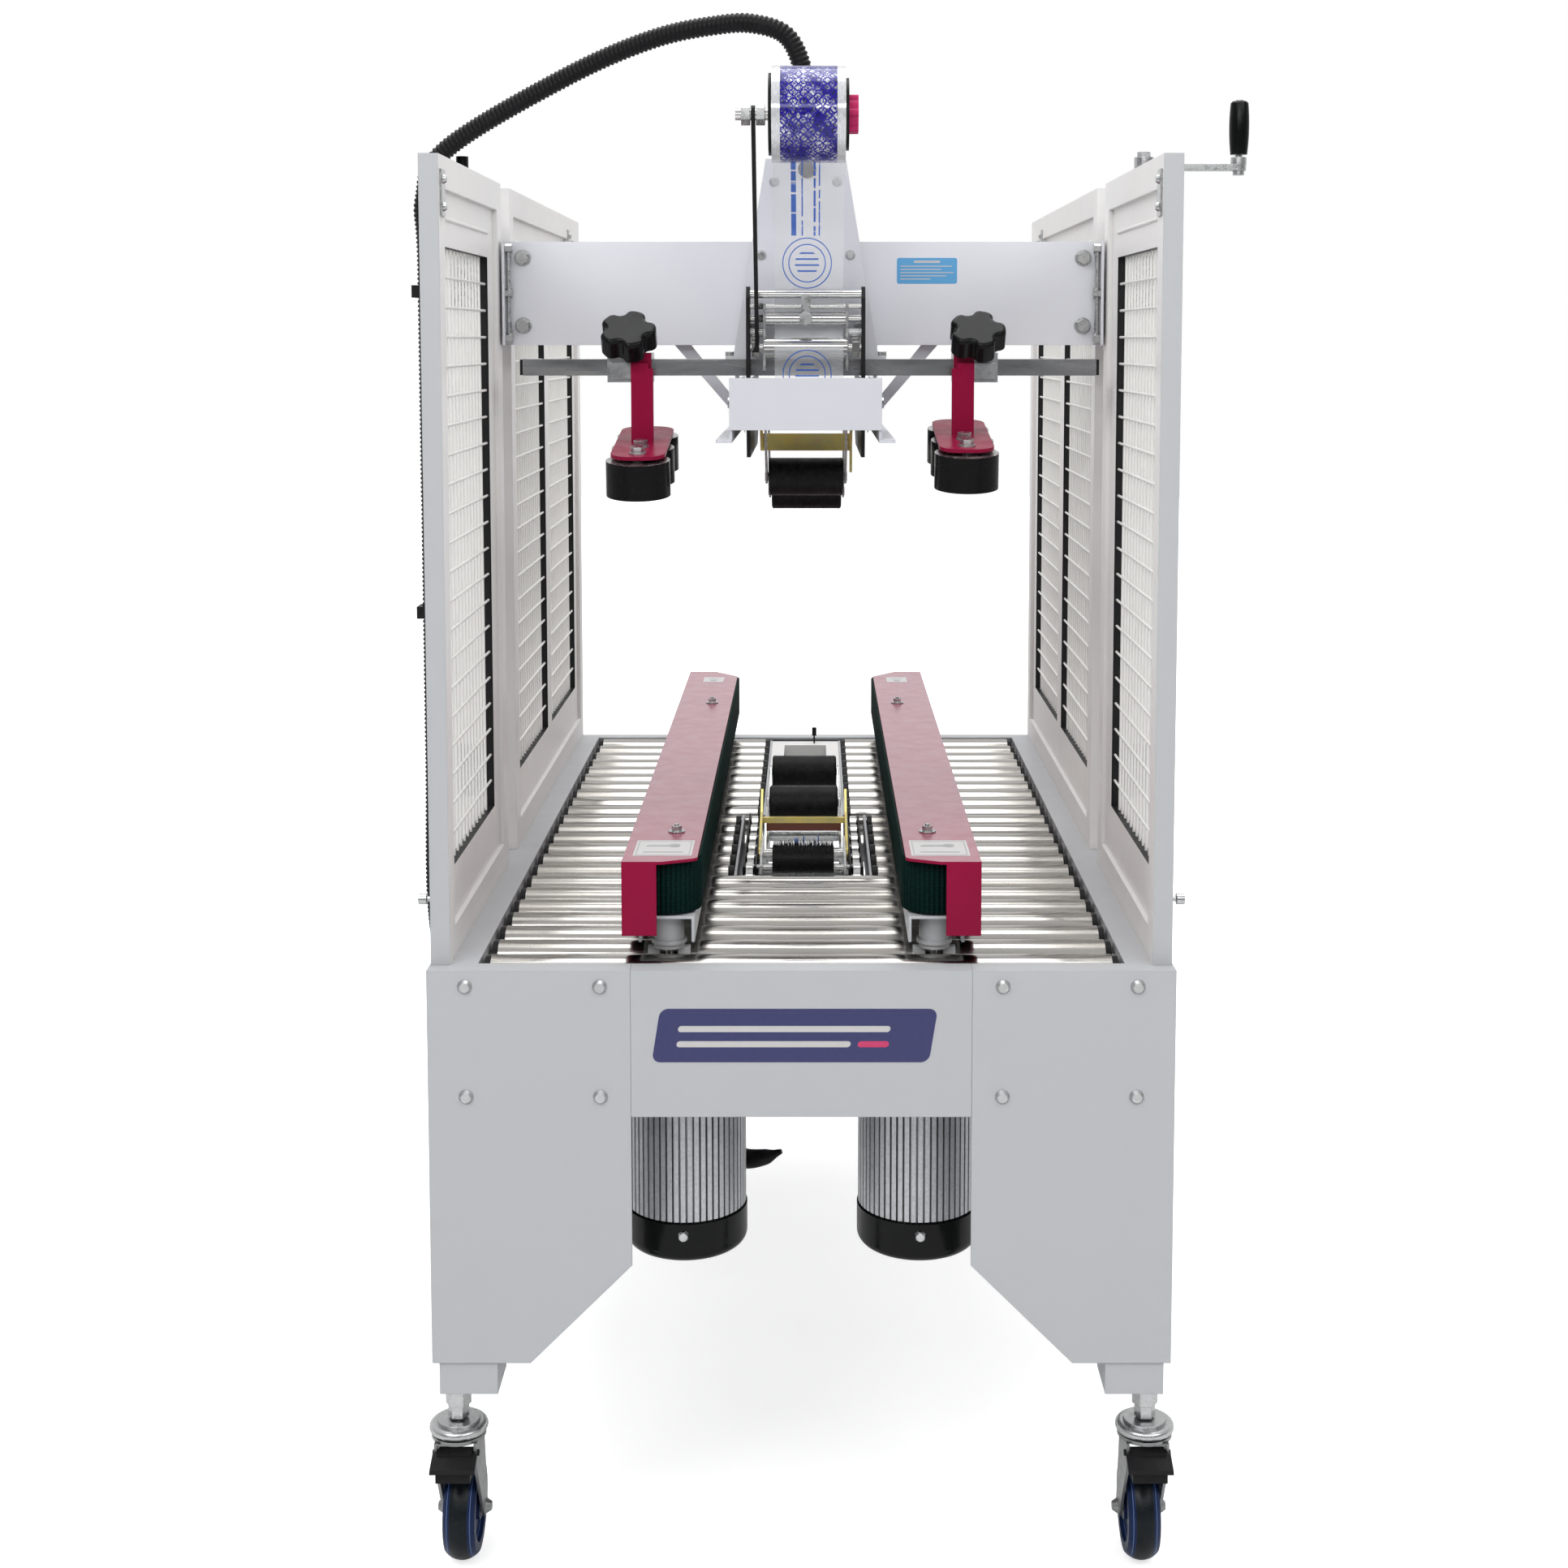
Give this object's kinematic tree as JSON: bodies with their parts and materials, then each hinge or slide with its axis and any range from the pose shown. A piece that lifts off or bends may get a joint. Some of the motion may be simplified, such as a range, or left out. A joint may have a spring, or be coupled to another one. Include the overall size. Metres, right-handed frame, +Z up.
{
  "type": "carton sealer",
  "caption": "Carton sealing machine: a roller table on casters with two side drive belts, hinged mesh guards, and tape heads in the table and on a crank-lifted crossbeam.",
  "frame": {"origin": "middle of the front end panel's top edge, on the outer face of that panel, at table height", "axes": "+X to the right across the table, +Y along the table from the front end to the rear end, +Z up; the floor is 0.625 m below the origin"},
  "size_m": [0.9538, 1.232, 1.5973],
  "materials": {
    "frame_paint": "satin powder coat",
    "guard_paint": "satin powder coat",
    "wire_paint": "satin powder coat",
    "crimson_paint": "gloss paint",
    "yellow_paint": "passivated yellow",
    "zinc_steel": "zinc plated",
    "roller_steel": "bright zinc",
    "black_steel": "black powder coat",
    "black_plastic": "moulded gloss",
    "black_rubber": "ground rubber",
    "green_belt": "ribbed rubber",
    "motor_grey": "silver paint on cast fins",
    "tape_film": "clear film on a roll",
    "hose_black": "ribbed hose",
    "caster_tread": "rubber tread"
  },
  "bodies": {
    "frame": {"bed_frame": "frame_paint", "end_panels": "frame_paint", "legs": "frame_paint", "frame_bolts": "zinc_steel", "bed_rollers": "roller_steel", "columns": "frame_paint", "rear_guards": "guard_paint", "rear_guard_mesh": "wire_paint", "control_box": "frame_paint", "lower_head_frame": "zinc_steel", "conduit": "hose_black"},
    "guard_door_left": {"guard_door_left": "guard_paint", "guard_mesh_left": "wire_paint"},
    "guard_door_right": {"guard_door_right": "guard_paint", "guard_mesh_right": "wire_paint"},
    "lift_screw_left": {"lift_screw_left": "zinc_steel"},
    "lift_screw_right": {"lift_screw_right": "zinc_steel", "crank_arm": "zinc_steel"},
    "crank_grip": {"crank_grip": "black_plastic"},
    "carriage": {"crossbeam": "frame_paint", "head_mast": "frame_paint", "head_carriage": "frame_paint", "guide_bar": "roller_steel", "upper_head_frame": "zinc_steel"},
    "squeezer_left": {"squeezer_left": "crimson_paint"},
    "squeezer_right": {"squeezer_right": "crimson_paint"},
    "star_knob_left": {"star_knob_left": "black_plastic"},
    "star_knob_right": {"star_knob_right": "black_plastic"},
    "tape_spool": {"tape_hub": "black_plastic", "tape_roll": "tape_film"},
    "upper_front_arm": {"upper_front_arm": "zinc_steel"},
    "upper_front_roller": {"upper_front_roller": "black_rubber"},
    "upper_rear_arm": {"upper_rear_arm": "zinc_steel"},
    "upper_rear_roller": {"upper_rear_roller": "black_rubber"},
    "upper_cutter": {"upper_cutter": "yellow_paint"},
    "lower_front_arm": {"lower_front_arm": "zinc_steel"},
    "lower_front_roller": {"lower_front_roller": "black_rubber"},
    "lower_rear_arm": {"lower_rear_arm": "zinc_steel"},
    "lower_rear_roller": {"lower_rear_roller": "black_rubber"},
    "lower_cutter": {"lower_cutter": "yellow_paint"},
    "belt_unit_left": {"belt_cover_left": "crimson_paint", "belt_frame_left": "frame_paint", "drive_belt_left": "green_belt", "motor_left": "motor_grey"},
    "drive_pulley_left": {"drive_pulley_left": "zinc_steel"},
    "caster_front_left": {"caster_fork_front_left": "zinc_steel"},
    "wheel_front_left": {"caster_wheel_front_left": "caster_tread"},
    "caster_rear_left": {"caster_fork_rear_left": "zinc_steel"},
    "wheel_rear_left": {"caster_wheel_rear_left": "caster_tread"},
    "brake_pedal_front_left": {"brake_pedal_front_left": "black_plastic"},
    "belt_unit_right": {"belt_cover_right": "crimson_paint", "belt_frame_right": "frame_paint", "drive_belt_right": "green_belt", "motor_right": "motor_grey"},
    "drive_pulley_right": {"drive_pulley_right": "zinc_steel"},
    "caster_front_right": {"caster_fork_front_right": "zinc_steel"},
    "wheel_front_right": {"caster_wheel_front_right": "caster_tread"},
    "caster_rear_right": {"caster_fork_rear_right": "zinc_steel"},
    "wheel_rear_right": {"caster_wheel_rear_right": "caster_tread"},
    "brake_pedal_front_right": {"brake_pedal_front_right": "black_plastic"}
  },
  "joints": [
    {"name": "lift_screw_right_turn", "type": "hinge", "parent": "frame", "child": "lift_screw_right", "pos_m": [0.3885, 0.445, 0], "axis": [0, 0, 1], "range_deg": [-5761, 361]},
    {"name": "head_lift", "type": "slide", "parent": "frame", "child": "carriage", "axis": [0, 0, 1], "range_m": [-0.32, 0.02], "stiffness_N_per_m": 60, "springref_m": 4.94, "deforming": ["conduit"]},
    {"name": "lift_screw_left_turn", "type": "hinge", "parent": "frame", "child": "lift_screw_left", "pos_m": [-0.3885, 0.445, 0], "axis": [0, 0, 1], "range_deg": [-5761, 361]},
    {"name": "crank_grip_spin", "type": "hinge", "parent": "lift_screw_right", "child": "crank_grip", "pos_m": [0.4965, 0.445, 0.845], "axis": [0, 0, 1], "continuous": true},
    {"name": "guard_door_left_swing", "type": "hinge", "parent": "frame", "child": "guard_door_left", "pos_m": [-0.366, 0.413, 0], "axis": [0, 0, -1], "range_deg": [0, 95]},
    {"name": "guard_door_right_swing", "type": "hinge", "parent": "frame", "child": "guard_door_right", "pos_m": [0.366, 0.413, 0], "axis": [0, 0, 1], "range_deg": [0, 95]},
    {"name": "squeezer_left_slide", "type": "slide", "parent": "carriage", "child": "squeezer_left", "axis": [1, 0, 0], "range_m": [-0.09, 0.038]},
    {"name": "squeezer_right_slide", "type": "slide", "parent": "carriage", "child": "squeezer_right", "axis": [1, 0, 0], "range_m": [-0.038, 0.09]},
    {"name": "star_knob_left_turn", "type": "hinge", "parent": "squeezer_left", "child": "star_knob_left", "pos_m": [-0.189, 0.325, 0.588], "axis": [0, -0.6428, 0.766], "range_deg": [-180, 180]},
    {"name": "star_knob_right_turn", "type": "hinge", "parent": "squeezer_right", "child": "star_knob_right", "pos_m": [0.189, 0.325, 0.588], "axis": [0, -0.6428, 0.766], "range_deg": [-180, 180]},
    {"name": "tape_spin", "type": "hinge", "parent": "carriage", "child": "tape_spool", "pos_m": [0.006, 0.165, 0.831], "axis": [1, 0, 0], "continuous": true},
    {"name": "upper_front_arm_swing", "type": "hinge", "parent": "carriage", "child": "upper_front_arm", "pos_m": [0, 0.345, 0.52], "axis": [1, 0, 0], "range_deg": [0, 44], "stiffness_Nm_per_rad": 1.5, "springref_deg": -51.57},
    {"name": "upper_rear_arm_swing", "type": "hinge", "parent": "carriage", "child": "upper_rear_arm", "pos_m": [0, 0.52, 0.52], "axis": [1, 0, 0], "range_deg": [0, 49.3], "stiffness_Nm_per_rad": 1.5, "springref_deg": -51.57},
    {"name": "upper_front_roller_spin", "type": "hinge", "parent": "upper_front_arm", "child": "upper_front_roller", "pos_m": [0.0035, 0.41, 0.45], "axis": [1, 0, 0], "continuous": true},
    {"name": "upper_rear_roller_spin", "type": "hinge", "parent": "upper_rear_arm", "child": "upper_rear_roller", "pos_m": [0.0035, 0.595, 0.42], "axis": [1, 0, 0], "continuous": true},
    {"name": "upper_cutter_swing", "type": "hinge", "parent": "carriage", "child": "upper_cutter", "pos_m": [0, 0.425, 0.54], "axis": [1, 0, 0], "range_deg": [0, 36], "stiffness_Nm_per_rad": 1, "springref_deg": -51.57},
    {"name": "lower_front_arm_swing", "type": "hinge", "parent": "frame", "child": "lower_front_arm", "pos_m": [0, 0.54, -0.04], "axis": [1, 0, 0], "range_deg": [-45, 0], "stiffness_Nm_per_rad": 1.5, "springref_deg": 51.57},
    {"name": "lower_rear_arm_swing", "type": "hinge", "parent": "frame", "child": "lower_rear_arm", "pos_m": [0, 0.725, -0.04], "axis": [1, 0, 0], "range_deg": [-43, 0], "stiffness_Nm_per_rad": 1.5, "springref_deg": 51.57},
    {"name": "lower_front_roller_spin", "type": "hinge", "parent": "lower_front_arm", "child": "lower_front_roller", "pos_m": [0, 0.609, 0.0285], "axis": [1, 0, 0], "continuous": true},
    {"name": "lower_rear_roller_spin", "type": "hinge", "parent": "lower_rear_arm", "child": "lower_rear_roller", "pos_m": [0, 0.799, 0.0285], "axis": [1, 0, 0], "continuous": true},
    {"name": "lower_cutter_swing", "type": "hinge", "parent": "frame", "child": "lower_cutter", "pos_m": [0, 0.48, -0.005], "axis": [1, 0, 0], "range_deg": [-24.8, 0], "stiffness_Nm_per_rad": 1.5, "springref_deg": 51.57},
    {"name": "belt_unit_left_slide", "type": "slide", "parent": "frame", "child": "belt_unit_left", "axis": [1, 0, 0], "range_m": [-0.15, 0.02]},
    {"name": "belt_unit_right_slide", "type": "slide", "parent": "frame", "child": "belt_unit_right", "axis": [1, 0, 0], "range_m": [-0.0205, 0.1505]},
    {"name": "drive_pulley_left_spin", "type": "hinge", "parent": "belt_unit_left", "child": "drive_pulley_left", "pos_m": [-0.132, 0.0734, 0.06], "axis": [0, 0, 1], "continuous": true},
    {"name": "caster_front_left_swivel", "type": "hinge", "parent": "frame", "child": "caster_front_left", "pos_m": [-0.342, 0.033, -0.5], "axis": [0, 0, 1], "continuous": true},
    {"name": "wheel_front_left_roll", "type": "hinge", "parent": "caster_front_left", "child": "wheel_front_left", "pos_m": [-0.342, 0.063, -0.575], "axis": [1, 0, 0], "continuous": true},
    {"name": "caster_rear_left_swivel", "type": "hinge", "parent": "frame", "child": "caster_rear_left", "pos_m": [-0.342, 1.181, -0.5], "axis": [0, 0, 1], "continuous": true},
    {"name": "wheel_rear_left_roll", "type": "hinge", "parent": "caster_rear_left", "child": "wheel_rear_left", "pos_m": [-0.342, 1.151, -0.575], "axis": [1, 0, 0], "continuous": true},
    {"name": "brake_pedal_front_left_press", "type": "hinge", "parent": "caster_front_left", "child": "brake_pedal_front_left", "pos_m": [-0.342, 0.014, -0.492], "axis": [1, 0, 0], "range_deg": [0, 12], "stiffness_Nm_per_rad": 0.6, "springref_deg": -28.65},
    {"name": "drive_pulley_right_spin", "type": "hinge", "parent": "belt_unit_right", "child": "drive_pulley_right", "pos_m": [0.132, 0.0734, 0.06], "axis": [0, 0, 1], "continuous": true},
    {"name": "caster_front_right_swivel", "type": "hinge", "parent": "frame", "child": "caster_front_right", "pos_m": [0.342, 0.033, -0.5], "axis": [0, 0, 1], "continuous": true},
    {"name": "wheel_front_right_roll", "type": "hinge", "parent": "caster_front_right", "child": "wheel_front_right", "pos_m": [0.342, 0.063, -0.575], "axis": [1, 0, 0], "continuous": true},
    {"name": "caster_rear_right_swivel", "type": "hinge", "parent": "frame", "child": "caster_rear_right", "pos_m": [0.342, 1.181, -0.5], "axis": [0, 0, 1], "continuous": true},
    {"name": "wheel_rear_right_roll", "type": "hinge", "parent": "caster_rear_right", "child": "wheel_rear_right", "pos_m": [0.342, 1.151, -0.575], "axis": [1, 0, 0], "continuous": true},
    {"name": "brake_pedal_front_right_press", "type": "hinge", "parent": "caster_front_right", "child": "brake_pedal_front_right", "pos_m": [0.342, 0.014, -0.492], "axis": [1, 0, 0], "range_deg": [0, 12], "stiffness_Nm_per_rad": 0.6, "springref_deg": -28.65}
  ],
  "couplings": [
    {"joint": "lift_screw_right_turn", "follows": "head_lift", "rad_per_m": 314.16},
    {"joint": "lift_screw_left_turn", "follows": "head_lift", "rad_per_m": 314.16},
    {"joint": "upper_rear_arm_swing", "follows": "upper_front_arm_swing", "ratio": 1.12},
    {"joint": "lower_rear_arm_swing", "follows": "lower_front_arm_swing", "ratio": 0.95},
    {"joint": "lower_cutter_swing", "follows": "lower_front_arm_swing", "ratio": 0.55},
    {"joint": "belt_unit_right_slide", "follows": "belt_unit_left_slide", "ratio": -1}
  ]
}
